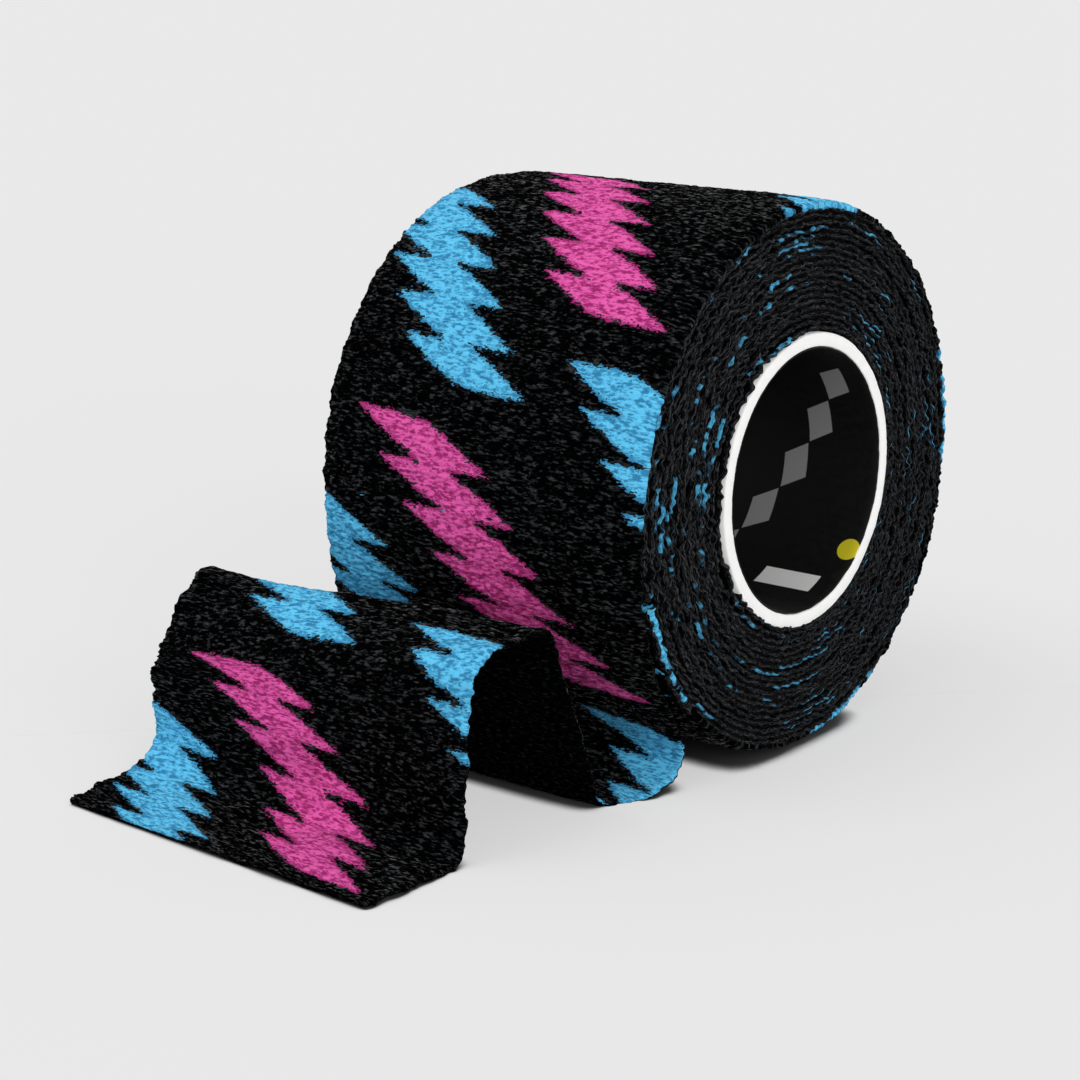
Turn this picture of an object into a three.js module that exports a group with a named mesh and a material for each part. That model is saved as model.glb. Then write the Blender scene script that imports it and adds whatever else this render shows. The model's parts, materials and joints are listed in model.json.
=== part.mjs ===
// A roll of athletic grip tape: a paperboard core with a printed inner ply, the tape wound on it
// as one long spiral of elastic cloth and adhesive, and the free tail of the same strip. The tail
// leaves the roll low at the front, touches the table, rises into a hump and ends flat again.
//
// Millimetres. +X is the roll's axis, -Y the way the tape pays out, +Z up. The origin is the
// point at mid width where the roll rests on the table. "Near" is the tape's +X edge and "far"
// its -X edge.

import * as THREE from 'three';

// ---- Driving dimensions ----
const tapeWidth = 38;
const rollRadius = 27.45; // to the corners of the last turn, at the peel line
const coreBoreRadius = 12.7;
const coreOuterRadius = 14.25;
const innerPlyThickness = 0.2;
const coreOverhang = 0.2; // how far the core stands out past the tape, each side
const clothThickness = 0.42;
const adhesiveThickness = 0.13;
const plyGap = 0.03; // between a strip's cloth and its adhesive
const corePlyGap = 0.05; // between the core's plies, and between the core and the first turn
const facetsPerTurn = 20;
const coilFacets = 388; // a little over 19 turns
const coreFacets = 3 * facetsPerTurn;
const peelAngle = 225; // degrees from +Y towards +Z: where the tail leaves the roll
const foldGap = 1.4; // open length of strip at each fold, so that the rigid lengths can turn

// ---- Derived dimensions ----
const degree = Math.PI / 180;
const facetStep = 360 / facetsPerTurn;
const facetSag = coreOuterRadius * (1 - Math.cos((facetStep / 2) * degree));
const stripHeight = adhesiveThickness + plyGap / 2; // from the strip's back to its middle line
const coilOuterLine = rollRadius - clothThickness - plyGap / 2;
const coilInnerLine = coreOuterRadius + corePlyGap + facetSag + stripHeight;
const restingFacet = coilFacets - (peelAngle - 270 + 360) / facetStep; // its middle is straight down
const restingLine = coilLine(restingFacet) * Math.cos((facetStep / 2) * degree);
const rollHeight = restingLine + plyGap / 2 + clothThickness;
const coreLength = tapeWidth + 2 * coreOverhang;
const tubeBoreRadius = coreBoreRadius + innerPlyThickness + corePlyGap;

// Distance from the roll's axis to the strip's middle line, after some facets of the spiral.
function coilLine(facets) {
  return THREE.MathUtils.lerp(coilInnerLine, coilOuterLine, facets / coilFacets);
}

const material = {
  paperboard: new THREE.MeshStandardMaterial({ color: 0xefefeb, roughness: 0.85, metalness: 0 }),
  innerPly: new THREE.MeshStandardMaterial({ color: 0x0b0b0a, roughness: 0.5, metalness: 0 }),
  cloth: new THREE.MeshStandardMaterial({ color: 0x14161a, roughness: 0.9, metalness: 0 }),
  adhesive: new THREE.MeshStandardMaterial({ color: 0x1b1b1c, roughness: 0.6, metalness: 0 }),
};

// ---- Core ----
// A straight tube along X, centred on the origin of the roll.
function tube(name, outerRadius, innerRadius, finish) {
  const ring = new THREE.Shape().absarc(0, 0, outerRadius, 0, 2 * Math.PI);
  ring.holes.push(new THREE.Path().absarc(0, 0, innerRadius, 0, 2 * Math.PI));
  const geometry = new THREE.ExtrudeGeometry(ring, {
    depth: coreLength,
    bevelEnabled: false,
    curveSegments: coreFacets,
  });
  geometry.rotateY(Math.PI / 2);
  geometry.translate(-coreLength / 2, 0, 0);
  const mesh = new THREE.Mesh(geometry, finish);
  mesh.name = name;
  return mesh;
}

// ---- Strip ----
// The strip's middle line parts its cloth from its adhesive. An edge is a list of points on that
// line, each { x, y, z } with the unit normal (ny, nz) of the cloth's side and the stretch that
// keeps the strip's thickness round a bend.
function withNormals(points) {
  const turnRight = (from, to) => {
    const length = Math.hypot(to.y - from.y, to.z - from.z);
    return { y: (to.z - from.z) / length, z: -(to.y - from.y) / length };
  };
  return points.map((point, i) => {
    const before = turnRight(points[Math.max(i - 1, 0)], points[Math.max(i, 1)]);
    const last = points.length - 1;
    const after = turnRight(points[Math.min(i, last - 1)], points[Math.min(i + 1, last)]);
    const sum = { y: before.y + after.y, z: before.z + after.z };
    const scale = 2 / (sum.y ** 2 + sum.z ** 2);
    return { ...point, ny: sum.y * scale, nz: sum.z * scale };
  });
}

// One closed layer of the strip, between two heights off its middle line.
function stripLayer(name, finish, edges, low, high) {
  const near = withNormals(edges.near);
  const far = withNormals(edges.far);
  const positions = [];
  for (let i = 0; i < near.length; i += 1) {
    for (const point of [near[i], far[i]]) {
      for (const height of [low, high]) {
        positions.push(point.x, point.y + point.ny * height, point.z + point.nz * height);
      }
    }
  }
  const nearLow = 0;
  const nearHigh = 1;
  const farLow = 2;
  const farHigh = 3;
  const triangles = [];
  const quad = (a, b, c, d) => triangles.push(a, b, c, a, c, d);
  for (let i = 0; i + 1 < near.length; i += 1) {
    const here = 4 * i;
    const next = here + 4;
    quad(here + nearHigh, here + farHigh, next + farHigh, next + nearHigh);
    quad(here + nearLow, next + nearLow, next + farLow, here + farLow);
    quad(here + nearLow, here + nearHigh, next + nearHigh, next + nearLow);
    quad(here + farLow, next + farLow, next + farHigh, here + farHigh);
  }
  const end = 4 * (near.length - 1);
  quad(nearLow, farLow, farHigh, nearHigh);
  quad(end + nearLow, end + nearHigh, end + farHigh, end + farLow);
  const geometry = new THREE.BufferGeometry();
  geometry.setAttribute('position', new THREE.Float32BufferAttribute(positions, 3));
  geometry.setIndex(triangles);
  const mesh = new THREE.Mesh(geometry, finish);
  mesh.name = name;
  return mesh;
}

function strip(name, edges) {
  const cloth = [plyGap / 2, plyGap / 2 + clothThickness];
  const adhesive = [-stripHeight, -plyGap / 2];
  return [
    stripLayer(`${name}_cloth`, material.cloth, edges, ...cloth),
    stripLayer(`${name}_adhesive`, material.adhesive, edges, ...adhesive),
  ];
}

// ---- Wound tape ----
// The spiral grows with the angle and ends at the peel line. One facet of each turn lies level
// under the roll.
function coilEdges() {
  const edges = { near: [], far: [] };
  for (let i = 0; i <= coilFacets; i += 1) {
    const angle = (peelAngle + (i - coilFacets) * facetStep) * degree;
    const y = coilLine(i) * Math.cos(angle);
    const z = coilLine(i) * Math.sin(angle);
    edges.near.push({ x: tapeWidth / 2, y, z });
    edges.far.push({ x: -tapeWidth / 2, y, z });
  }
  return edges;
}

// ---- Tail ----
// Points of the middle line across the strip, each as [near, far] with [x, y, z]. Heights on the
// table are stripHeight, so that the back of the strip lies on it.
const peel = [[17.3, -19.3, 6.3], [-20.7, -19.3, 6.3]];
const peelBend = [[16.9, -17.5, 3.2], [-21.3, -17.5, 3.2]];
const underBend = [[16.6, -18.1, 0.9], [-21.7, -18.1, 0.9]];
const footContact = [[16.1, -20.6, stripHeight], [-22.3, -20.6, stripHeight]];
const trough = [[13.8, -25.6, stripHeight], [-23.7, -25.6, stripHeight]];
const riserLow = [[13.7, -27.7, 5.1], [-24.2, -29.1, 5.1]];
const riserMiddle = [[13.7, -29.9, 10.5], [-24.5, -32.3, 10.5]];
const crest = [[13.7, -33.4, 18.8], [-24.7, -36.9, 18.6]];
const topMiddle = [[13.6, -38.2, 18.5], [-25.0, -39.5, 16.9]];
const shoulder = [[13.5, -43.0, 17.8], [-25.3, -42.2, 13.7]];
const legHigh = [[13.2, -43.6, 13.5], [-25.3, -43.7, 10.8]];
const legLow = [[12.9, -43.9, 5.0], [-25.4, -44.5, 5.0]];
const toe = [[12.8, -45.0, stripHeight], [-25.5, -45.6, 1.9]];
const endFold = [[12.6, -49.0, stripHeight], [-25.7, -49.0, 1.0]];
const cutEnd = [[12.4, -56.5, stripHeight], [-26.1, -54.6, stripHeight]];

// Moves an end point of a length of strip back from the fold by half the gap.
function shorten(point, neighbour) {
  const step = new THREE.Vector3().subVectors(neighbour, point).setLength(foldGap / 2);
  return new THREE.Vector3().addVectors(point, step);
}

function tailEdges(stations, foldAtStart, foldAtEnd) {
  const edges = {};
  for (const [side, key] of ['near', 'far'].entries()) {
    const points = stations.map((pair) => new THREE.Vector3(...pair[side]));
    const last = points.length - 1;
    const first = foldAtStart ? shorten(points[0], points[1]) : points[0];
    const final = foldAtEnd ? shorten(points[last], points[last - 1]) : points[last];
    edges[key] = [first, ...points.slice(1, last), final].map(({ x, y, z }) => ({ x, y, z }));
  }
  return edges;
}

// ---- Assembly ----
const roll = new THREE.Group();
roll.position.z = rollHeight;
roll.add(tube('core_tube', coreOuterRadius, tubeBoreRadius, material.paperboard));
roll.add(tube('core_inner_ply', coreBoreRadius + innerPlyThickness, coreBoreRadius, material.innerPly));
roll.add(...strip('coil', coilEdges()));

const tail = new THREE.Group();
const foot = [peel, peelBend, underBend, footContact, trough];
tail.add(...strip('tail_foot', tailEdges(foot, false, true)));
tail.add(...strip('tail_riser', tailEdges([trough, riserLow, riserMiddle, crest], true, true)));
tail.add(...strip('tail_top', tailEdges([crest, topMiddle, shoulder], true, true)));
tail.add(...strip('tail_leg', tailEdges([shoulder, legHigh, legLow, toe], true, true)));
tail.add(...strip('tail_toe', tailEdges([toe, endFold], true, true)));
tail.add(...strip('tail_end', tailEdges([endFold, cutEnd], true, false)));

const gripTapeRoll = new THREE.Group();
gripTapeRoll.add(roll, tail);

export default gripTapeRoll;
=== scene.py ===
"""Looks of a grip tape roll: a crepe cloth strip with a plain zigzag print, wound on a paperboard core.

The strip is described once, by the distance s along it (millimetres, 0 at the roll's front, growing
the way the tape pays out) and the distance u across it (0 at the far edge). Lengths are millimetres
until a mesh is made.
"""

import json
import math

import bpy
import numpy as np
from mathutils import Matrix, Vector


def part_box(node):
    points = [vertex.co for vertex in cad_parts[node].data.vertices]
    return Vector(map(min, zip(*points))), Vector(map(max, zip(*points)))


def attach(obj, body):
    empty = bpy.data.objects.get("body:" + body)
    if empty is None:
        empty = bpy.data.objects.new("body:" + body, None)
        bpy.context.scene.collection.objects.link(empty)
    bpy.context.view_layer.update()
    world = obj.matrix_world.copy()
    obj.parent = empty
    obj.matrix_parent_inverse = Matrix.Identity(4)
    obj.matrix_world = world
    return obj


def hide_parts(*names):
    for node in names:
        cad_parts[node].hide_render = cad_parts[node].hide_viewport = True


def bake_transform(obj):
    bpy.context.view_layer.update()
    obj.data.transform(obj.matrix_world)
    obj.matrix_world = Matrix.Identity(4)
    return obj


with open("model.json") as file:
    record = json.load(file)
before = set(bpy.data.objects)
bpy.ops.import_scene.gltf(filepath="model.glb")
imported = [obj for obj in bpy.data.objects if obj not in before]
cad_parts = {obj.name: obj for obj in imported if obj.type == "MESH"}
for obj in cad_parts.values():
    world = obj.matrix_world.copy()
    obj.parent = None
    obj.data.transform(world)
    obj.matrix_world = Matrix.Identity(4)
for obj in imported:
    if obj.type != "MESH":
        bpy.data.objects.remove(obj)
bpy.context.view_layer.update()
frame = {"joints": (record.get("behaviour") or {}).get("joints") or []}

# ---- Sizes from the frame, in millimetres ----
MM = 1000.0
JOINT_AT = {joint["name"]: [MM * value for value in joint["pos_m"]] for joint in frame["joints"]}
ROLL_HEIGHT = JOINT_AT["roll_turn"][2]


def node_size(node, axis):
    """A CAD part's size along one axis."""
    low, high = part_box(node)
    return MM * (high[axis] - low[axis])


TAPE_WIDTH = node_size("coil_cloth", 0)
CORE_LENGTH = node_size("core_tube", 0)
CORE_OUTER = node_size("core_tube", 1) / 2
PLY_OUTER = node_size("core_inner_ply", 1) / 2

# ---- Driving sizes, in millimetres ----
CORE_BORE = 12.7
TURN_PITCH = 0.62
STRIP_THICKNESS = 0.5
CREPE_HEIGHT = 0.19
CREPE_PITCH = 0.62
ROW_STEP = 0.17  # mesh spacing along the strip
COLUMNS = 150  # mesh faces across the strip
SHARP_DEGREES = 70  # mesh edges that turn more than this stay sharp

FRONT = math.pi  # angle of the roll's front, from +Y towards +Z
PEEL_DEGREES = 45  # how far below the front the tail leaves the roll
SEAM_DEGREES = 1.5  # how far below the front the coil's own skin changes turn, under the tail
SKIN_LOW = ROLL_HEIGHT - 0.12  # radius just after the peel line
SKIN_HIGH = SKIN_LOW + TURN_PITCH  # radius just before the front
SKIN_FALL_DEGREES = 4  # length of the skin's step down, under the tail
SKIN_CALM_DEGREES = 5  # length after the seam where the skin's relief grows, under the tail

EDGE_WAVE = 0.16  # how far the strip's edges stray from straight, in each of two sizes of wave
EDGE_POWER = 12  # keeps what happens at an edge close to it
EDGE_RECESS = 0.15  # how far the outermost turns' edges stand back from the middle ones
RECESS_TURNS = 5  # how many turns stand back
CORE_CREEP = 0.25  # how far the innermost turn stands out against the core
EDGE_SINK = 0.4  # how far the wound cloth sinks at its two edges
EDGE_SINK_WIDTH = 3.6  # how wide that sinking is

# ---- Print: zigzags of equal slanted strokes, repeated along the strip ----
PRINT_REPEAT = 37.5
PINK_ZIGZAGS = [(12.5, -5.5)]  # (u, s) of the middle of each zigzag's first stroke
BLUE_ZIGZAGS = [(0.0, -34.5), (35.0, -12.5)]
STROKES = 6
STROKE_STEP = (3.1, 4.3)
STROKE_DEGREES = 17
STROKE_LENGTH = 17.0
STROKE_HALF_WIDTH = 1.75
SPINE_HALF_WIDTH = 1.5  # the strokes' middles are joined by a band
ZIGZAG_LENGTH = 30.0  # along the strip, with some room
ZIGZAG_MARGIN = 8.0  # how far past its first and last stroke a zigzag's distance is worked out
NOT_NEAR = 9.0  # distance given to places that are near no zigzag


# ---- Seeded noise ----
def noise(a, b, seed):
    """Smooth noise between -1 and 1, with one random value at each whole number of a and b."""
    table = np.random.default_rng(seed).uniform(-1, 1, (256, 256))
    whole_a, whole_b = np.floor(a).astype(int), np.floor(b).astype(int)
    part_a, part_b = a - whole_a, b - whole_b
    ease_a, ease_b = part_a**2 * (3 - 2 * part_a), part_b**2 * (3 - 2 * part_b)

    def corner(i, j):
        return table[(whole_a + i) % 256, (whole_b + j) % 256]

    low = corner(0, 0) * (1 - ease_b) + corner(0, 1) * ease_b
    high = corner(1, 0) * (1 - ease_b) + corner(1, 1) * ease_b
    return low * (1 - ease_a) + high * ease_a


def crepe(s, u, seed=1):
    """Height of the crinkled cloth: short wavy ridges that run across the strip."""
    bend = 0.9 * noise(s / 1.7, u / 1.3, seed) + 0.5 * noise(s / 0.8, u / 0.7, seed + 1)
    ridge = np.sin(2 * math.pi * (s / CREPE_PITCH + bend))
    patchy = 0.55 + 0.45 * noise(s / 0.9, u / 1.5, seed + 2)
    knobs = noise(s / 0.42, u / 0.75, seed + 3)
    puckers = noise(s / 1.6, u / 2.6, seed + 4)
    return CREPE_HEIGHT * (0.5 * ridge * patchy + 0.45 * knobs + 0.45 * puckers)


# ---- Print ----
def stroke_distance(u, s, middle):
    """Signed distance, negative inside, to one stroke: a slanted lens with two pointed ends."""
    slant = math.radians(STROKE_DEGREES)
    along = (u - middle[0]) * math.cos(slant) + (s - middle[1]) * math.sin(slant)
    across = (s - middle[1]) * math.cos(slant) - (u - middle[0]) * math.sin(slant)
    share = np.abs(along) / (STROKE_LENGTH / 2)
    side = np.abs(across) - STROKE_HALF_WIDTH * np.clip(1 - share**1.4, 0, 1)
    beyond = np.maximum(np.abs(along) - STROKE_LENGTH / 2, 0)
    return np.hypot(np.maximum(side, 0), beyond) + np.minimum(side, 0)


def spine_distance(u, s, start):
    """Signed distance, negative inside, to the band through the middles of one zigzag's strokes."""
    steps = (u - start[0]) * STROKE_STEP[0] + (s - start[1]) * STROKE_STEP[1]
    steps = np.clip(steps / (STROKE_STEP[0] ** 2 + STROKE_STEP[1] ** 2), 0, STROKES - 1)
    off_u = u - start[0] - steps * STROKE_STEP[0]
    off_s = s - start[1] - steps * STROKE_STEP[1]
    return np.hypot(off_u, off_s) - SPINE_HALF_WIDTH


def zigzag_distance(s, u, places):
    """Signed distance to the nearest of the repeated zigzags, each a staggered row of equal strokes."""
    nearest = np.full(u.shape, NOT_NEAR)
    for place_u, place_s in places:
        first = math.floor((s.min() - place_s - ZIGZAG_LENGTH) / PRINT_REPEAT)
        last = math.ceil((s.max() - place_s + ZIGZAG_LENGTH) / PRINT_REPEAT)
        for repeat in range(first, last + 1):
            start = (place_u, place_s + PRINT_REPEAT * repeat)
            end = start[1] + STROKES * STROKE_STEP[1]
            close = (s > start[1] - ZIGZAG_MARGIN) & (s < end + ZIGZAG_MARGIN)
            near_u, near_s = u[close], s[close]
            zigzag = spine_distance(near_u, near_s, start)
            for k in range(STROKES):
                middle = (start[0] + k * STROKE_STEP[0], start[1] + k * STROKE_STEP[1])
                zigzag = np.minimum(zigzag, stroke_distance(near_u, near_s, middle))
            nearest[close] = np.minimum(nearest[close], zigzag)
    return nearest


# ---- Meshes ----
def grid_faces(rows, columns, close_rows=False, close_columns=False):
    """Quads of a grid of points, row after row."""
    row = np.arange(rows if close_rows else rows - 1)[:, None]
    column = np.arange(columns if close_columns else columns - 1)[None, :]
    next_row, next_column = (row + 1) % rows, (column + 1) % columns
    corners = [
        row * columns + column,
        row * columns + next_column,
        next_row * columns + next_column,
        next_row * columns + column,
    ]
    return np.stack([c.ravel() for c in np.broadcast_arrays(*corners)], axis=1)


def make_mesh(name, points, faces, material, place=None, **values):
    """A smooth mesh, with its own coordinates as "cloth" and any further values at its points."""
    mesh = bpy.data.meshes.new(name)
    mesh.from_pydata((points.reshape(-1, 3) / MM).tolist(), [], faces.tolist())
    mesh.update()
    if place is not None:
        layer = mesh.attributes.new("cloth", "FLOAT_VECTOR", "POINT")
        layer.data.foreach_set("vector", place.astype(np.float32).ravel())
    for label, value in values.items():
        layer = mesh.attributes.new(label, "FLOAT", "POINT")
        layer.data.foreach_set("value", value.astype(np.float32).ravel())
    mesh.materials.append(material)
    mesh.polygons.foreach_set("use_smooth", np.ones(len(mesh.polygons), bool))
    mesh.set_sharp_from_angle(angle=math.radians(SHARP_DEGREES))
    piece = bpy.data.objects.new(name, mesh)
    bpy.context.scene.collection.objects.link(piece)
    return piece


def dress(points, faces, name, s, u, side):
    """A cloth mesh with its strip coordinates and its print. side is 1 on the printed face."""
    pink = zigzag_distance(s, u, PINK_ZIGZAGS)
    blue = zigzag_distance(s, u, BLUE_ZIGZAGS)
    return make_mesh(name, points, faces, CLOTH, np.stack([s, u, side], axis=-1), pink=pink, blue=blue)


# ---- Material building ----
class Nodes:
    """A short way to build a node tree."""

    def __init__(self, name):
        self.material = bpy.data.materials.new(name)
        self.material.use_nodes = True
        self.tree = self.material.node_tree
        self.shader = self.tree.nodes["Principled BSDF"]

    def add(self, kind, **settings):
        node = self.tree.nodes.new(kind)
        for key, value in settings.items():
            setattr(node, key, value)
        return node

    def link(self, source, target):
        if isinstance(source, (int, float)):
            target.default_value = source
        elif isinstance(source, tuple):
            target.default_value = (*source, 1.0) if len(target.default_value) == 4 else source
        else:
            self.tree.links.new(source, target)

    def attribute(self, name, output):
        return self.add("ShaderNodeAttribute", attribute_name=name).outputs[output]

    def math(self, operation, a, b=0.0, c=0.0):
        node = self.add("ShaderNodeMath", operation=operation)
        for value, socket in zip((a, b, c), node.inputs):
            self.link(value, socket)
        return node.outputs[0]

    def vector(self, operation, a, b):
        node = self.add("ShaderNodeVectorMath", operation=operation)
        self.link(a, node.inputs[0])
        self.link(b, node.inputs[1])
        return node.outputs[0]

    def noise(self, vector, scale, detail=3.0, roughness=0.55):
        node = self.add("ShaderNodeTexNoise")
        self.link(vector, node.inputs["Vector"])
        node.inputs["Scale"].default_value = scale
        node.inputs["Detail"].default_value = detail
        node.inputs["Roughness"].default_value = roughness
        return node.outputs["Fac"]

    def ramp(self, value, low, high, to_low=0.0, to_high=1.0):
        node = self.add("ShaderNodeMapRange", interpolation_type="SMOOTHSTEP")
        for source, socket in zip((value, low, high, to_low, to_high), node.inputs):
            self.link(source, socket)
        return node.outputs[0]

    def mix(self, share, a, b):
        node = self.add("ShaderNodeMix", data_type="RGBA")
        self.link(share, node.inputs[0])
        self.link(a, node.inputs[6])
        self.link(b, node.inputs[7])
        return node.outputs[2]

    def bump(self, height, strength, distance):
        node = self.add("ShaderNodeBump")
        node.inputs["Strength"].default_value = strength
        node.inputs["Distance"].default_value = distance / MM
        self.link(height, node.inputs["Height"])
        self.link(node.outputs[0], self.shader.inputs["Normal"])

    def finish(self, color, roughness, **others):
        self.link(color, self.shader.inputs["Base Color"])
        self.link(roughness, self.shader.inputs["Roughness"])
        for key, value in others.items():
            self.link(value, self.shader.inputs[key.replace("_", " ")])
        return self.material


# ---- Materials ----
BLACK_CLOTH = (0.0002, 0.0003, 0.0005)
# painted highlight: grey flecks on the crests of the weave, in place of the light that the fibres catch
PAINTED_THREAD_HIGHLIGHT = (0.025, 0.028, 0.031)
SHADED_BACK_SHARE = 0.25  # share of the painted thread highlights kept on the strip's back; the rest is taken off as painted shade, since the back lies in shade
THREAD_SHEEN = 0.32  # fuzz on the painted thread highlights, which lightens the cloth where it is seen at a slant
# painted highlight: grey on the crest of each cut edge
PAINTED_EDGE_HIGHLIGHT = (0.105, 0.110, 0.118)
PINK_INK = (0.86, 0.12, 0.45)
PINK_SHADE = (0.36, 0.026, 0.155)
BLUE_INK = (0.13, 0.62, 0.97)
BLUE_SHADE = (0.04, 0.24, 0.46)
RUBBER = (0.0015, 0.0015, 0.0015)
RUBBER_GRAIN = (0.005, 0.005, 0.006)
PAPER = (0.90, 0.895, 0.88)
PAPER_FIBRE = (0.97, 0.97, 0.965)
PAPER_BLOTCH = (0.92, 0.915, 0.90)
PAPER_PAINTED_GLOW = 0.14  # painted light: the paper glows a little, so that it looks whiter
PLY_BLACK = (0.0015, 0.0015, 0.0015)
PLY_GRAIN = (0.005, 0.005, 0.005)
GREY_MARK = (0.32, 0.32, 0.32)
WHITE_MARK = (0.88, 0.88, 0.87)
YELLOW_MARK = (0.72, 0.62, 0.02)


def face_share(n, side, on_back=0.0):
    """1 on the strip's printed face and on_back on its back."""
    return n.ramp(side, 0.4, 0.6, on_back, 1.0)


def inked(n, color, side, weave, raggedness):
    """The blue and the pink print over a colour, on the printed face only, with a ragged outline."""
    jagged = n.math("MULTIPLY", n.math("SUBTRACT", weave, 0.5), raggedness)
    printed = face_share(n, side)
    for label, ink, shade in (("blue", BLUE_INK, BLUE_SHADE), ("pink", PINK_INK, PINK_SHADE)):
        edge = n.math("ADD", n.attribute(label, "Fac"), jagged)
        mask = n.math("MULTIPLY", n.ramp(edge, -0.1, 0.1, 1.0, 0.0), printed)
        color = n.mix(mask, color, n.mix(n.ramp(weave, 0.41, 0.56), shade, ink))
    return color


def cloth_material():
    """Crepe cloth: black yarn with short painted grey highlights on the crests, dimmed on the back as painted
    shade, printed on one face.
    """
    n = Nodes("crepe_cloth")
    strip = n.attribute("cloth", "Vector")
    side = n.add("ShaderNodeSeparateXYZ")
    n.link(strip, side.inputs[0])
    dashes = n.noise(n.vector("MULTIPLY", strip, (1.0, 0.55, 1.0)), 2.6, 4.0, 0.65)
    threads = n.noise(n.vector("MULTIPLY", strip, (1.0, 0.30, 1.0)), 4.6, 1.2, 0.5)
    weave = n.math("ADD", n.math("MULTIPLY", dashes, 0.55), n.math("MULTIPLY", threads, 0.45))
    # painted highlight: grey flecks on the crests of the weave, which also carry the sheen
    thread_highlight_share = n.math("MULTIPLY", n.ramp(threads, 0.48, 0.74), n.ramp(dashes, 0.38, 0.58))
    # painted shade: the strip's back, which lies in shade, keeps only a share of the highlights
    thread_highlight_share = n.math("MULTIPLY", thread_highlight_share, face_share(n, side.outputs[2], SHADED_BACK_SHARE))
    color = n.mix(thread_highlight_share, BLACK_CLOTH, PAINTED_THREAD_HIGHLIGHT)
    n.bump(weave, 0.8, 0.25)
    color = inked(n, color, side.outputs[2], weave, 3.2)
    fuzz = n.math("MULTIPLY", thread_highlight_share, THREAD_SHEEN)
    return n.finish(color, 0.9, Specular_IOR_Level=0.01, Sheen_Weight=fuzz)


def cut_edge_material():
    """The strip's cut edges on the roll's end faces: a painted grey highlight along each rim's crest, black
    between the turns.
    """
    n = Nodes("cut_cloth_edge")
    strip = n.attribute("cloth", "Vector")
    side = n.add("ShaderNodeSeparateXYZ")
    n.link(strip, side.inputs[0])
    yarn = n.noise(n.vector("MULTIPLY", strip, (0.8, 1.0, 1.0)), 2.6, 4.0, 0.7)
    # painted highlight: grey only where rim is high, on each edge's crest
    edge_highlight_share = n.math("MULTIPLY", n.ramp(yarn, 0.46, 0.64), n.attribute("rim", "Fac"))
    color = n.mix(edge_highlight_share, BLACK_CLOTH, PAINTED_EDGE_HIGHLIGHT)
    n.bump(yarn, 0.8, 0.25)
    return n.finish(inked(n, color, side.outputs[2], yarn, 5.0), 0.9, Specular_IOR_Level=0.03)


def adhesive_material():
    """Matt rubbery coat between the turns."""
    n = Nodes("adhesive_coat")
    place = n.add("ShaderNodeTexCoord").outputs["Object"]
    grain = n.noise(place, 2600.0, 4.0)
    n.bump(grain, 0.5, 0.08)
    return n.finish(n.mix(grain, RUBBER, RUBBER_GRAIN), 0.8, Specular_IOR_Level=0.1)


def paperboard_material():
    """White paperboard with short fibres and faint blotches, and a faint painted glow."""
    n = Nodes("white_paperboard")
    place = n.add("ShaderNodeTexCoord").outputs["Object"]
    fibres = n.noise(n.vector("MULTIPLY", place, (0.35, 1.0, 1.0)), 1900.0, 5.0, 0.7)
    blotches = n.noise(place, 260.0, 2.0)
    color = n.mix(n.ramp(fibres, 0.35, 0.7), PAPER, PAPER_FIBRE)
    color = n.mix(n.ramp(blotches, 0.45, 0.8, 0.0, 0.35), color, PAPER_BLOTCH)
    n.bump(fibres, 0.35, 0.06)
    # painted light: a faint white glow on the paper
    return n.finish(color, 0.82, Emission_Color=(1.0, 1.0, 1.0), Emission_Strength=PAPER_PAINTED_GLOW)


# Middles of the marks: (distance round the bore from its +Y side, distance in from the near end)
PLY_BARS = 5
PLY_BARS_START = (-4.6, 15.4)
PLY_BAR_STEP = (3.6, -2.9)
PLY_WHITE_BAR = (-15.0, 5.4)
PLY_DOT = (-9.9, 1.0)
PLY_BAR_HALF = (1.75, 1.35)  # half sizes in the same two directions
PLY_WHITE_BAR_HALF = (1.3, 3.2)
PLY_BAR_SLANT = 0.5
PLY_DOT_RADIUS = 1.2
MARK_BLUR = 0.04


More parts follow.
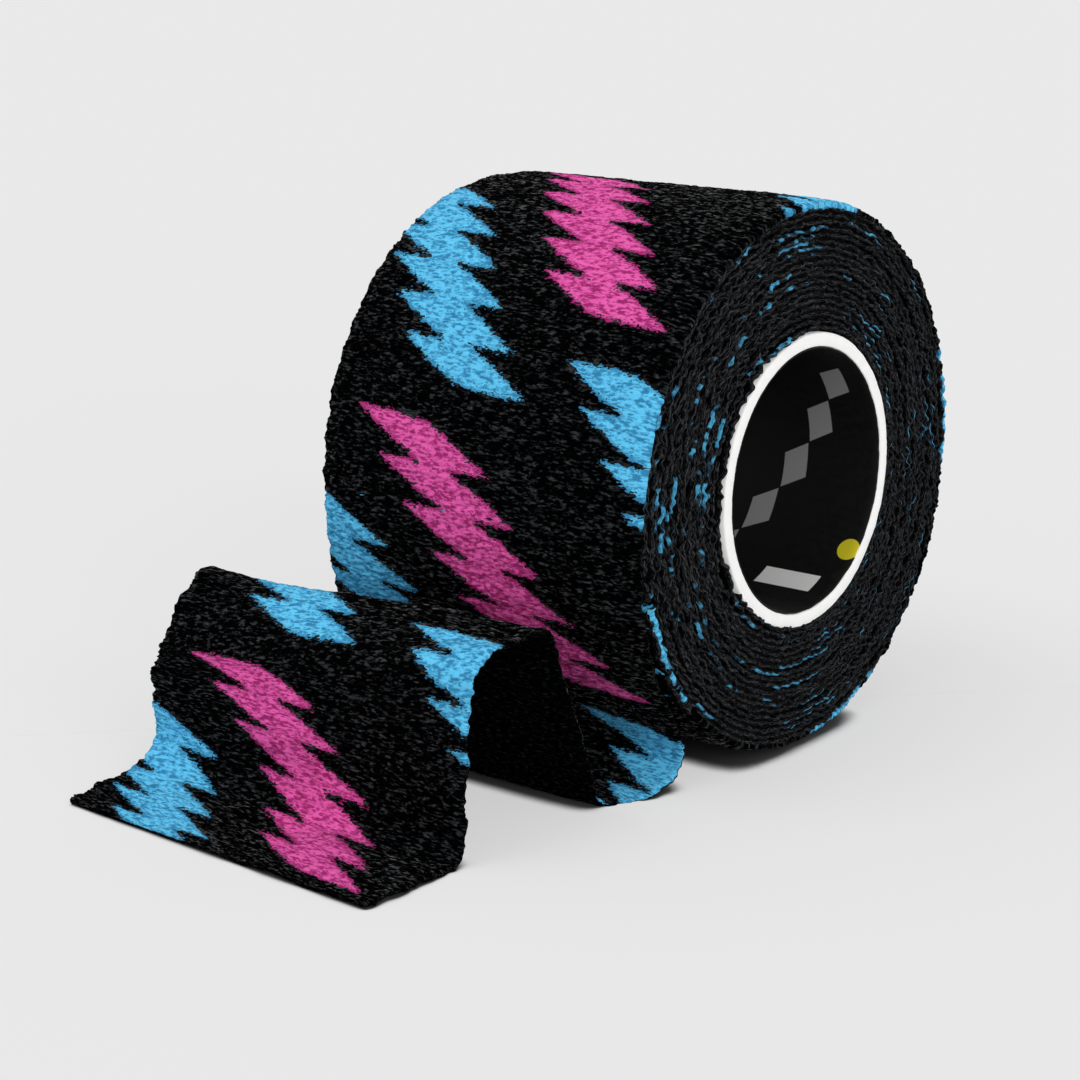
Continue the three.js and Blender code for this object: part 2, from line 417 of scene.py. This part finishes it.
def inner_ply_material():
    """Smooth black printed paper: diagonal pale bars, one white bar and a yellow dot, with no lettering."""
    n = Nodes("printed_inner_ply")
    place = n.add("ShaderNodeTexCoord").outputs["Object"]
    grain = n.noise(place, 1500.0, 4.0)
    cloth = n.add("ShaderNodeSeparateXYZ")
    n.link(n.attribute("cloth", "Vector"), cloth.inputs[0])
    arc, across, printed = cloth.outputs

    def bar(centre, half_size, slant=0.0):
        shifted = n.math("ADD", n.math("SUBTRACT", arc, centre[0]), n.math("MULTIPLY", across, slant))
        side_a = n.math("SUBTRACT", n.math("ABSOLUTE", shifted), half_size[0])
        offset = n.math("ABSOLUTE", n.math("SUBTRACT", across, centre[1]))
        side_b = n.math("SUBTRACT", offset, half_size[1])
        outside = n.math("MAXIMUM", side_a, side_b)
        return n.math("MULTIPLY", n.ramp(outside, -MARK_BLUR, MARK_BLUR, 1.0, 0.0), printed)

    color = n.mix(grain, PLY_BLACK, PLY_GRAIN)
    for k in range(PLY_BARS):
        centre = (PLY_BARS_START[0] + PLY_BAR_STEP[0] * k, PLY_BARS_START[1] + PLY_BAR_STEP[1] * k)
        color = n.mix(bar(centre, PLY_BAR_HALF, PLY_BAR_SLANT), color, GREY_MARK)
    color = n.mix(bar(PLY_WHITE_BAR, PLY_WHITE_BAR_HALF), color, WHITE_MARK)
    from_dot = n.add("ShaderNodeVectorMath", operation="DISTANCE")
    flat = n.vector("MULTIPLY", n.attribute("cloth", "Vector"), (1.0, 1.0, 0.0))
    n.link(flat, from_dot.inputs[0])
    n.link((*PLY_DOT, 0.0), from_dot.inputs[1])
    in_dot = n.ramp(from_dot.outputs["Value"], PLY_DOT_RADIUS - 0.05, PLY_DOT_RADIUS + 0.05, 1.0, 0.0)
    color = n.mix(n.math("MULTIPLY", in_dot, printed), color, YELLOW_MARK)
    return n.finish(color, n.ramp(grain, 0.3, 0.7, 0.5, 0.65), Specular_IOR_Level=0.25)


CLOTH = cloth_material()
CUT_EDGE = cut_edge_material()
ADHESIVE = adhesive_material()
PAPERBOARD = paperboard_material()
INNER_PLY = inner_ply_material()


# ---- Coil ----
def ring_points(x, radius, angle):
    """Points at distance radius from the roll's axis."""
    return np.stack([x, radius * np.cos(angle), ROLL_HEIGHT + radius * np.sin(angle)], axis=-1)


def skin_radius(angle):
    """The outermost skin: a spiral that steps down one turn between the front and the peel line."""
    past_peel = (angle - FRONT - math.radians(PEEL_DEGREES)) % (2 * math.pi)
    climb_end = 2 * math.pi - math.radians(PEEL_DEGREES - SEAM_DEGREES)
    climb = np.clip(past_peel / climb_end, 0, 1)
    fall = np.clip((past_peel - climb_end) / math.radians(SKIN_FALL_DEGREES), 0, 1)
    return SKIN_LOW + TURN_PITCH * (climb**2 - fall * fall * (3 - 2 * fall))


def edge_sink(u):
    """How far the wound cloth sinks towards the roll's two ends, where its edges round over."""
    from_middle = np.abs(u - TAPE_WIDTH / 2)
    beyond = np.clip((from_middle - TAPE_WIDTH / 2 + EDGE_SINK_WIDTH) / EDGE_SINK_WIDTH, 0, 1)
    return EDGE_SINK * beyond**2.2


def edge_wave(s, seed):
    """How far a cloth edge strays from straight, along the roll's axis."""
    return EDGE_WAVE * (noise(s / 1.3, s * 0, seed) + noise(s / 0.45, s * 0, seed + 1))


def edge_shift(s, across):
    """Sideways shift of the strip's points: wavy at both edges. across runs from 0 at the far edge to 1."""
    across = np.clip(across, 0, 1)
    return across**EDGE_POWER * edge_wave(s, 21) - (1 - across) ** EDGE_POWER * edge_wave(s, 31)


def edge_inset(across):
    """Sideways shift of the roll's outermost edges, towards its middle."""
    across = np.clip(across, 0, 1)
    return -EDGE_RECESS * np.abs(2 * across - 1) ** EDGE_POWER * np.sign(across - 0.5)


def turn_recess(turns_down):
    """How far the edges stand back, some turns below the skin."""
    return EDGE_RECESS * np.clip(1 - turns_down / RECESS_TURNS, 0, 1) ** 1.6


# Section of the skin's turned-in lip: (beyond the strip's edge, height)
SKIN_LIP = np.array([(0.06, -0.15), (0.02, -0.4), (-0.4, -0.5), (-2.6, -0.5)])


def coil_skin():
    """The outermost turn, full width, with both edges rounded in towards the turns below."""
    rows = int(2 * math.pi * SKIN_HIGH / ROW_STEP)
    start = FRONT + math.radians(SEAM_DEGREES)
    angle = start + np.arange(rows) / rows * 2 * math.pi
    lip_u, lip_drop = SKIN_LIP.T
    u = np.concatenate([-lip_u[::-1], np.linspace(0, TAPE_WIDTH, COLUMNS + 1), TAPE_WIDTH + lip_u])
    drop = np.concatenate([lip_drop[::-1], np.zeros(COLUMNS + 1), lip_drop])
    A, U = np.meshgrid(angle, u, indexing="ij")
    S = (A - FRONT - 2 * math.pi) * SKIN_HIGH
    calm = np.clip((A - start) / math.radians(SKIN_CALM_DEGREES), 0.2, 1)
    relief = crepe(S, U) * np.where(drop < -0.3, 0.4, 1.0) * calm  # lower on the lip
    radius = skin_radius(A) + relief + drop - edge_sink(U)
    x = U - TAPE_WIDTH / 2 + edge_shift(S, U / TAPE_WIDTH) + edge_inset(U / TAPE_WIDTH)
    faces = grid_faces(*S.shape, close_rows=True, close_columns=True)[:, ::-1]
    printed = np.ones_like(S)
    piece = dress(ring_points(x, radius, A), faces, "coil_outer_turn", S, np.clip(U, 0, TAPE_WIDTH), printed)
    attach(piece, "roll")
    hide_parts("coil_cloth")


# Section of a cloth edge: (sideways from the edge, outwards as a share of the thickness)
EDGE_OUTER_HALF = [(-1.6, 0.5), (-0.5, 0.5), (-0.1, 0.42), (0, 0.15)]
EDGE_SECTION = np.array(EDGE_OUTER_HALF + [(x, -height) for x, height in EDGE_OUTER_HALF[::-1]])
EDGE_THICKNESS = 0.46
EDGE_STEP_DEGREES = 0.5  # mesh spacing round the roll
EDGES_TOP = SKIN_LOW - 0.1  # outer radius of the inner turns
EDGES_BOTTOM = CORE_OUTER + 0.3
EDGES_INSET = 0.12  # from the tape's full width, so that the wavy edges stay near it
TURN_STRAY = 0.16  # how far each whole turn strays sideways
EDGE_PRINT_AT = 0.4  # a cut edge shows the print that lies this far in from it
PRINT_SHIFT = 130.0  # moves the print along the inner turns


def edge_ribbon_faces(rows):
    """Quads of a long ribbon with the edge section, and of its two ends."""
    width = len(EDGE_SECTION)
    first_end = [[k, width - 1 - k, width - 2 - k, k + 1] for k in range(width // 2 - 1)]
    last_end = [[(rows - 1) * width + corner for corner in face[::-1]] for face in first_end]
    return np.concatenate([grid_faces(rows, width, close_columns=True), first_end, last_end])


def coil_edges(side, name):
    """The edges of all the inner turns at one end of the roll: one wavy ribbon in a spiral."""
    step = math.radians(EDGE_STEP_DEGREES)
    turns = (EDGES_TOP - EDGES_BOTTOM) / TURN_PITCH
    angle = FRONT + math.radians(PEEL_DEGREES) - np.arange(int(2 * math.pi * turns / step)) * step
    sideways, outwards = EDGE_SECTION.T
    A, sideways = np.meshgrid(angle, sideways, indexing="ij")
    outwards = np.broadcast_to(outwards, A.shape)
    wound = (angle[0] - A) / (2 * math.pi)
    S = -2 * math.pi * (SKIN_HIGH * wound - TURN_PITCH * wound**2 / 2) - PRINT_SHIFT
    lateral = TURN_STRAY * noise(np.floor(wound) * 7.3 + 0.5, wound * 0, 41 + side)
    lateral = lateral + 0.8 * edge_wave(S, 43 + side) + 0.25 * noise(S / 0.5, wound * 3, 45)
    lateral = lateral - turn_recess(wound)
    lateral = lateral + CORE_CREEP * np.clip(wound - turns + 2, 0, 1)
    wander = 0.09 * noise(S / 1.3, wound * 1.7, 47 + side)
    wander = wander + 0.13 * noise(S / 0.42, wound * 2.9, 49 + side)
    thickness = EDGE_THICKNESS + 0.09 * noise(S / 0.8, wound * 5, 51)
    fuzz = 0.05 * noise(S / 0.35, outwards * 4, 53)
    middle = EDGES_TOP - STRIP_THICKNESS / 2 - TURN_PITCH * wound + wander
    points = ring_points(
        side * (TAPE_WIDTH / 2 - EDGES_INSET + sideways + lateral + fuzz),
        middle + outwards * thickness + fuzz,
        A,
    )
    faces = edge_ribbon_faces(len(angle))
    if side < 0:
        faces = faces[:, ::-1]
    U = np.full(A.shape, TAPE_WIDTH - EDGE_PRINT_AT if side > 0 else EDGE_PRINT_AT)
    printed = ((outwards > 0.1) & (sideways > -0.3)).astype(float)
    strip = np.stack([S, U + sideways + 3 * outwards, printed], axis=-1)
    broken = 1.5 + 1.6 * noise(S / 2.6, 1.7 * wound, 55) + 1.5 * noise(S / 0.5, wound, 57)
    blue = zigzag_distance(S, U, BLUE_ZIGZAGS) + broken
    # where the painted highlight goes: 1 on the crest of each edge, 0 deeper in
    rim = np.interp(sideways, [-0.5, -0.1, 0], [0, 0.5, 1])
    unprinted = np.full(A.shape, NOT_NEAR)
    piece = make_mesh(name, points, faces, CUT_EDGE, strip, pink=unprinted, blue=blue, rim=rim)
    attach(piece, "roll")


FILLER_DEPTH = 0.6  # how deep the adhesive lies between the cloth edges
FILLER_GAP = 0.02  # from the core
FILLER_COVER = 0.45  # from the skin's radius, so that the lip covers it
FILLER_RINGS = 60
FILLER_SPOKES = 360


def coil_filler():
    """The adhesive and cloth between the edges, just below the wavy rims, as one ring with crinkled ends."""
    rings = np.linspace(CORE_OUTER + FILLER_GAP, SKIN_LOW - FILLER_COVER, FILLER_RINGS)
    angle = np.arange(FILLER_SPOKES) / FILLER_SPOKES * 2 * math.pi
    half = TAPE_WIDTH / 2 - FILLER_DEPTH - turn_recess((SKIN_LOW - rings) / TURN_PITCH)
    A, R = np.meshgrid(angle, np.concatenate([rings, rings[::-1]]), indexing="ij")
    X = np.broadcast_to(np.concatenate([-half, half[::-1]]), A.shape)
    ripple = 0.08 * noise(A * 25, R * 3, 61)
    faces = grid_faces(*A.shape, close_rows=True, close_columns=True)
    piece = make_mesh("coil_adhesive_layers", ring_points(X + np.sign(X) * ripple, R, A), faces, ADHESIVE)
    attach(piece, "roll")
    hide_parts("coil_adhesive")


# ---- Tail ----
# The strip's near and far edge beyond the roll, as (x, y, z) places on the middle of the cloth.
TAIL_NEAR = [
    *[(16.7, -17.2, 2.7), (16.1, -20.9, 0.3), (13.8, -25.6, 0.3)],  # trough
    *[(13.7, -27.7, 5.1), (13.7, -29.9, 10.5), (13.7, -33.2, 18.4)],  # riser
    *[(13.6, -34.6, 18.9), (13.6, -38.2, 18.5), (13.5, -42.4, 17.9)],  # crest and top
    *[(13.4, -43.4, 16.6), (13.2, -43.6, 13.5), (12.9, -43.8, 7.0)],  # shoulder and leg
    *[(12.9, -43.9, 3.2), (12.8, -45.2, 0.4), (12.6, -51.1, 0.3), (12.4, -56.5, 0.3)],  # toe and cut end
]
TAIL_FAR = [
    *[(-21.5, -17.2, 2.7), (-22.3, -20.9, 0.3), (-23.7, -25.6, 0.3)],
    *[(-24.2, -29.1, 5.1), (-24.5, -32.3, 10.5), (-24.7, -36.4, 18.2)],
    *[(-24.8, -37.6, 18.5), (-25.0, -39.5, 16.9), (-25.3, -42.2, 13.7)],
    *[(-25.3, -43.0, 12.5), (-25.3, -43.6, 11.3), (-25.3, -44.4, 7.5)],
    *[(-25.3, -44.4, 4.0), (-25.6, -46.3, 1.9), (-25.8, -51.1, 0.8), (-26.1, -54.6, 0.3)],
]
WRAP_FROM = -5  # degrees below the front where the tail's visual pieces start, on top of the coil
WRAP_DRIFT = 1.7  # how far the tail has slid towards the far end when it leaves the roll
WRAP_LIFT_AT = [-5, -1, 0.5, 6, 20, 45]  # degrees below the front
WRAP_LIFT = [-0.8, -0.35, -0.19, -0.06, 0.06, 0.02]  # height over the skin's highest radius there
SUNK_UNTIL = 4.0  # s up to which the tail's edges sink as on the roll
SUNK_FADE = 16.0  # length over which they come up again
SWAY_FROM = 20.0  # s from which the loose cloth sways
SWAY_FADE = 6.0  # length over which the sway grows
RESTING_HEIGHT = 3.0  # below this the sway only lifts the cloth, more so nearer to the table
TABLE_GAP = 0.02  # the cloth never comes closer to the table than this
ROUNDED_SHARE = 0.01  # share of the strip's half width over which its edges are rounded
FOLDS = ["trough_bend", "crest_bend", "shoulder_bend", "toe_bend", "end_lift"]
FOLD_SPREADS = [3.0, 3.0, 3.0, 2.0, 2.5]  # length of cloth that bends at each fold
FOLD_ROWS = 8  # mesh rows on each side of a fold that give its direction
NORMAL_SMOOTHING = 6  # times that the cloth's normals are averaged with their neighbours
PEEL_MARGIN = 0.7  # share of the first fold's spread, before the fold, where the still length ends
TAIL_BODIES = ["tail_foot", "tail_riser", "tail_top", "tail_leg", "tail_toe", "tail_end"]
TAIL_PIECES = ["tail_trough", "tail_crest", "tail_shoulder", "tail_toe_bend", "tail_cut_end"]


def wrap_controls():
    """Places of the part of the tail that still lies on the roll, as near and far lists."""
    near, far = [], []
    close_steps, wide_steps = range(WRAP_FROM, 5), range(8, PEEL_DEGREES, 6)
    for below in [*close_steps, *wide_steps, PEEL_DEGREES]:
        angle = FRONT + math.radians(below)
        drift = WRAP_DRIFT * max(below / PEEL_DEGREES, 0) ** 1.5
        radius = SKIN_HIGH + np.interp(below, WRAP_LIFT_AT, WRAP_LIFT)
        y, z = radius * math.cos(angle), ROLL_HEIGHT + radius * math.sin(angle)
        near.append((TAPE_WIDTH / 2 - drift, y, z))
        far.append((-TAPE_WIDTH / 2 - drift, y, z))
    return near, far


def between(a, b, low, high, t):
    """The place on the line through a and b, reached at low and at high, at t."""
    return a * (high - t) / (high - low) + b * (t - low) / (high - low)


def smooth_path(points, samples):
    """A centripetal Catmull-Rom curve through points, with samples[i] steps in span i."""
    places = [np.array(point) for point in points]
    places = [2 * places[0] - places[1], *places, 2 * places[-1] - places[-2]]
    curve = []
    for i, count in enumerate(samples):
        p = places[i : i + 4]
        knots = np.concatenate([[0], np.cumsum([np.linalg.norm(b - a) ** 0.5 for a, b in zip(p, p[1:])])])
        for t in np.linspace(knots[1], knots[2], count, endpoint=False):
            first = [between(p[k], p[k + 1], knots[k], knots[k + 1], t) for k in range(3)]
            second = [between(first[k], first[k + 1], knots[k], knots[k + 2], t) for k in range(2)]
            curve.append(between(second[0], second[1], knots[1], knots[2], t))
    curve.append(places[-2])
    return np.array(curve)


def cloth_normals(path):
    """Unit normals of the printed side, in the plane across the roll's axis."""
    step = np.gradient(path, axis=0)
    normal = np.stack([step[:, 0] * 0, step[:, 2], -step[:, 1]], axis=1)
    for _ in range(NORMAL_SMOOTHING):
        normal[1:-1] = (normal[:-2] + 2 * normal[1:-1] + normal[2:]) / 4
    return normal / np.linalg.norm(normal, axis=1)[:, None]


def tail_rows():
    """Near and far edge of the tail, their normals and the distance s, one row each ROW_STEP."""
    near, far = wrap_controls()
    near += TAIL_NEAR
    far += TAIL_FAR
    spans = [max(2, int(math.dist(a, b) / ROW_STEP)) for a, b in zip(near, near[1:])]
    near_path, far_path = smooth_path(near, spans), smooth_path(far, spans)
    steps = np.linalg.norm(np.diff(near_path[:, 1:], axis=0), axis=1)
    s = np.concatenate([[0], np.cumsum(steps)]) + math.radians(WRAP_FROM) * SKIN_HIGH
    rows = {"s": s, "near": near_path, "far": far_path}
    return rows | {"near_normal": cloth_normals(near_path), "far_normal": cloth_normals(far_path)}


def strip_points(rows, S, W, F):
    """Places on the loose cloth: W runs from 0 at the far edge to 1, F is 1 on the printed face."""
    U = W * TAPE_WIDTH
    W3 = W[..., None]
    middle = rows["far"][:, None] * (1 - W3) + rows["near"][:, None] * W3
    normal = rows["far_normal"][:, None] * (1 - W3) + rows["near_normal"][:, None] * W3
    free = np.clip((S - SWAY_FROM) / SWAY_FADE, 0, 1)
    sway = 0.35 * noise(S / 7.0, U / 9.0, 71) + 0.18 * noise(S / 3.2, U / 4.5, 73)
    sway = sway + 0.3 * noise(S / 2.4, W * 0, 75) * (W**10 + (1 - W) ** 10)
    resting = np.clip(1 - middle[..., 2] / RESTING_HEIGHT, 0, 1)
    sway = sway + resting * (np.abs(sway) - sway)
    wound = 1 - np.clip((S - SUNK_UNTIL) / SUNK_FADE, 0, 1)
    at_edge = np.clip(np.abs(2 * W - 1) - (1 - ROUNDED_SHARE), 0, 1) / ROUNDED_SHARE
    rounding = 1 - 0.45 * at_edge**2
    thick = np.where(F > 0.5, 1, -1) * STRIP_THICKNESS / 2 * rounding
    relief = np.where(F > 0.5, crepe(S, U), -0.75 * crepe(S, U, 81))
    offset = thick + relief + free * sway - wound * edge_sink(U)
    points = middle + normal * offset[..., None]
    points[..., 0] += edge_shift(S, W) + wound * edge_inset(W) + 0.15 * free * noise(S / 4.0, W * 0, 77)
    points[..., 2] = np.maximum(points[..., 2], TABLE_GAP)
    return points


def with_ends(values):
    """Grid values as one list, with the first and the last row once more for the end faces."""
    return np.concatenate([values.reshape(-1, *values.shape[2:]), values[0], values[-1]])


def strip_faces(rows, width):
    """Quads of the strip's two faces and two edges, and of its two ends."""
    columns = np.arange(width // 2 - 1)
    ends = np.stack([columns, columns + 1, width - 2 - columns, width - 1 - columns], axis=1)
    first_end = (ends + rows * width)[:, ::-1]
    last_end = ends + (rows + 1) * width
    return np.concatenate([grid_faces(rows, width, close_columns=True), first_end, last_end])[:, ::-1]


def tail_piece(name, rows):
    """One length of the tail: both faces, both edges and both ends."""
    across = np.linspace(0, 1, COLUMNS + 1)
    S, W = np.meshgrid(rows["s"], np.concatenate([across, across[::-1]]), indexing="ij")
    F = np.broadcast_to(np.repeat([1.0, 0.0], COLUMNS + 1), S.shape)
    points = with_ends(strip_points(rows, S, W, F))
    return dress(points, strip_faces(*S.shape), name, with_ends(S), with_ends(W * TAPE_WIDTH), with_ends(F))


def dress_body(body):
    """A tail piece stands in for both layers of one body."""
    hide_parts(f"{body}_cloth", f"{body}_adhesive")


def tail():
    """The loose cloth: a still length off the roll, then five lengths, each cut around one fold."""
    rows = tail_rows()
    middle = (rows["near"] + rows["far"]) / 2
    folds = []
    for joint in FOLDS:
        from_fold = middle[:, 1:] - np.array(JOINT_AT[joint][1:])
        folds.append(int(np.argmin(np.hypot(*from_fold.T))))
    peel_end = folds[0] - int(PEEL_MARGIN * FOLD_SPREADS[0] / ROW_STEP)
    cuts = [peel_end, *[(a + b) // 2 for a, b in zip(folds, folds[1:])], len(middle) - 1]
    peel = tail_piece("tail_peel", {key: values[: peel_end + 1] for key, values in rows.items()})
    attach(peel, TAIL_BODIES[0])
    dress_body(TAIL_BODIES[0])
    for k, at in enumerate(folds):
        part = {key: values[cuts[k] : cuts[k + 1] + 1] for key, values in rows.items()}
        piece = tail_piece(TAIL_PIECES[k], part)
        along = middle[at + FOLD_ROWS] - middle[at - FOLD_ROWS]
        along = along / np.linalg.norm(along) * FOLD_SPREADS[k] / 2
        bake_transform(piece)
        dress_body(TAIL_BODIES[k + 1])


# ---- Core ----
# Softened corners of a tube's end: (in from the end, in from the wall)
OUTER_CORNER = [(0.12, 0.0), (0.03, 0.06), (0.0, 0.12)]
BORE_CORNER = [(0.0, 0.12), (0.03, 0.05), (0.12, 0.0)]
BORE_RINGS = 40
CORE_SPOKES = 300
CORE_GAP = 0.03  # between the core's two plies
PLY_RECESS = 0.05  # how far the inner ply ends before the paperboard, at each end
UNEVEN_WIDTH = 0.2  # how wide the uneven band is at each end of the core


def tube_outline(half, outer, inner):
    """Closed outline, as (x, radius) places, of a tube wall with softened corners."""
    near_end = [(half - short, outer - deep) for short, deep in OUTER_CORNER]
    near_end += [(half - short, inner + deep) for short, deep in BORE_CORNER]
    bore = [(x, inner) for x in np.linspace(half - 1, 1 - half, BORE_RINGS)]
    far_end = [(-x, radius) for x, radius in reversed(near_end)]
    return np.array(near_end + bore + far_end)


def core_piece(name, node, outer, inner, length, material, seed):
    """A paper tube with softened, slightly uneven end edges."""
    x, radius = tube_outline(length / 2, outer, inner).T
    A, R = np.meshgrid(np.arange(CORE_SPOKES) / CORE_SPOKES * 2 * math.pi, radius, indexing="ij")
    X = np.broadcast_to(x, A.shape)
    wobble = 0.04 * noise(A * 14, R * 2, seed) + 0.02 * noise(A * 60, R * 3, seed + 1)
    at_end = np.abs(X) > length / 2 - UNEVEN_WIDTH
    points = ring_points(X + np.sign(X) * wobble * at_end, R + wobble * 0.5, A)
    signed_angle = (A + math.pi) % (2 * math.pi) - math.pi
    printed = np.abs(signed_angle) < math.pi / 2  # keeps the marks off the place where the angle starts again
    place = np.stack([signed_angle * inner, length / 2 - X, printed], axis=-1)
    faces = grid_faces(*A.shape, close_rows=True, close_columns=True)
    piece = make_mesh(name, points, faces, material, place)
    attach(piece, "roll")
    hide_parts(node)


def core_paperboard():
    """The white tube that the tape is wound on."""
    bore = PLY_OUTER + CORE_GAP
    core_piece("core_paperboard", "core_tube", CORE_OUTER, bore, CORE_LENGTH, PAPERBOARD, 91)


def core_black_ply():
    """The printed ply that lines the core."""
    length = CORE_LENGTH - 2 * PLY_RECESS
    core_piece("core_black_ply", "core_inner_ply", PLY_OUTER, CORE_BORE, length, INNER_PLY, 95)


# ---- Studio ----
CAMERA_AZIMUTH = 36.154
CAMERA_ELEVATION = 13.360
CAMERA_DISTANCE = 263.6
CAMERA_PAN = 2.31
CAMERA_TILT = -1.87
CAMERA_LENS = 88.0
CAMERA_SENSOR = 36.0
CAMERA_CLIP = 10.0  # nearest distance that the camera sees
BACKDROP = 0.82
FLOOR_GLOW = 1.08  # brightness mixed into the floor, for the camera only, to match the backdrop
GLOW_SHARE = 0.5
FLOOR_HALF = 20000.0
PALE_FLOOR = (0.6, 0.6, 0.6)
PAINTED_CONTACT_SHADOW = (0.1, 0.1, 0.1)  # painted contact shadow: the floor is given this dark colour in the tight corners where things stand on it
CONTACT_REACH = 3.0  # how far above the floor things darken it with the painted shadow
SKY_LIGHT = 0.66
KEY_LIGHT = (0.6, (0.25, 0.45, -0.85))  # strength and direction
FILL_LIGHT = (0.9, (-0.85, 0.45, -0.35))
LIGHT_DEGREES = 35  # how wide each light looks from the roll, for soft shadows


def camera():
    """A long lens aimed at the roll's middle, then turned a little to the side and down."""
    azimuth, elevation = math.radians(CAMERA_AZIMUTH), math.radians(CAMERA_ELEVATION)
    level = math.cos(elevation)
    towards = Vector((math.sin(azimuth) * level, -math.cos(azimuth) * level, math.sin(elevation)))
    forward = -towards
    right = forward.cross(Vector((0, 0, 1))).normalized()
    up = right.cross(forward)
    pan = Matrix.Rotation(math.radians(CAMERA_PAN), 3, up)
    forward, right = pan @ forward, pan @ right
    tilt = Matrix.Rotation(math.radians(CAMERA_TILT), 3, right)
    forward, up = tilt @ forward, tilt @ up
    data = bpy.data.cameras.new("camera")
    data.lens = CAMERA_LENS
    data.sensor_width = CAMERA_SENSOR
    data.clip_start = CAMERA_CLIP / MM
    lens = bpy.data.objects.new("camera", data)
    place = (Vector((0, 0, ROLL_HEIGHT)) + towards * CAMERA_DISTANCE) / MM
    lens.matrix_world = Matrix.Translation(place) @ Matrix((right, up, -forward)).transposed().to_4x4()
    bpy.context.scene.collection.objects.link(lens)
    bpy.context.scene.camera = lens


def floor():
    """A wide pale floor. Its shadows look softer to the camera, except close to what stands on it, where a
    dark contact shadow is painted into its colour.
    """
    n = Nodes("pale_floor")
    hemmed_in = n.add("ShaderNodeAmbientOcclusion", samples=16)
    hemmed_in.inputs["Distance"].default_value = CONTACT_REACH / MM
    # mask of the painted shadow: 0 where things stand close over the floor, 1 in the open
    outside_painted_shadow = n.ramp(hemmed_in.outputs["AO"], 0.45, 0.85)
    # painted shadow: the floor's colour goes dark near what stands on it
    n.finish(n.mix(outside_painted_shadow, PAINTED_CONTACT_SHADOW, PALE_FLOOR), 0.9, Specular_IOR_Level=0.0)
    backdrop = n.add("ShaderNodeEmission")
    backdrop.inputs["Strength"].default_value = FLOOR_GLOW
    seen = n.add("ShaderNodeLightPath").outputs["Is Camera Ray"]
    choose = n.add("ShaderNodeMixShader")
    n.link(n.math("MULTIPLY", n.math("MULTIPLY", seen, GLOW_SHARE), outside_painted_shadow), choose.inputs[0])
    n.link(n.shader.outputs[0], choose.inputs[1])
    n.link(backdrop.outputs[0], choose.inputs[2])
    n.link(choose.outputs[0], n.tree.nodes["Material Output"].inputs[0])
    mesh = bpy.data.meshes.new("floor")
    half = FLOOR_HALF / MM
    corners = [(-half, -half, 0), (half, -half, 0), (half, half, 0), (-half, half, 0)]
    mesh.from_pydata(corners, [], [(0, 1, 2, 3)])
    mesh.materials.append(n.material)
    ground = bpy.data.objects.new("floor", mesh)
    bpy.context.scene.collection.objects.link(ground)


def sun(name, strength, direction):
    """A far, wide lamp that shines in one direction."""
    data = bpy.data.lights.new(name, "SUN")
    data.energy = strength
    data.angle = math.radians(LIGHT_DEGREES)
    lamp = bpy.data.objects.new(name, data)
    lamp.rotation_euler = Vector(direction).to_track_quat("-Z", "Y").to_euler()
    bpy.context.scene.collection.objects.link(lamp)


def sky():
    """Even light from all around, with the pale backdrop where the camera looks past the floor."""
    world = bpy.data.worlds.new("studio")
    world.use_nodes = True
    tree = world.node_tree
    seen = tree.nodes["Background"]
    seen.inputs[0].default_value = (BACKDROP, BACKDROP, BACKDROP, 1)
    lighting = tree.nodes.new("ShaderNodeBackground")
    lighting.inputs[0].default_value = (1, 1, 1, 1)
    lighting.inputs[1].default_value = SKY_LIGHT
    path = tree.nodes.new("ShaderNodeLightPath")
    choose = tree.nodes.new("ShaderNodeMixShader")
    tree.links.new(path.outputs["Is Camera Ray"], choose.inputs[0])
    tree.links.new(lighting.outputs[0], choose.inputs[1])
    tree.links.new(seen.outputs[0], choose.inputs[2])
    tree.links.new(choose.outputs[0], tree.nodes["World Output"].inputs[0])
    bpy.context.scene.world = world
    bpy.context.scene.view_settings.view_transform = "Standard"


# ---- Assembly ----
coil_skin()
coil_edges(1, "coil_turns_near")
coil_edges(-1, "coil_turns_far")
coil_filler()
tail()
core_paperboard()
core_black_ply()
camera()
floor()
sky()
sun("key", *KEY_LIGHT)
sun("fill", *FILL_LIGHT)
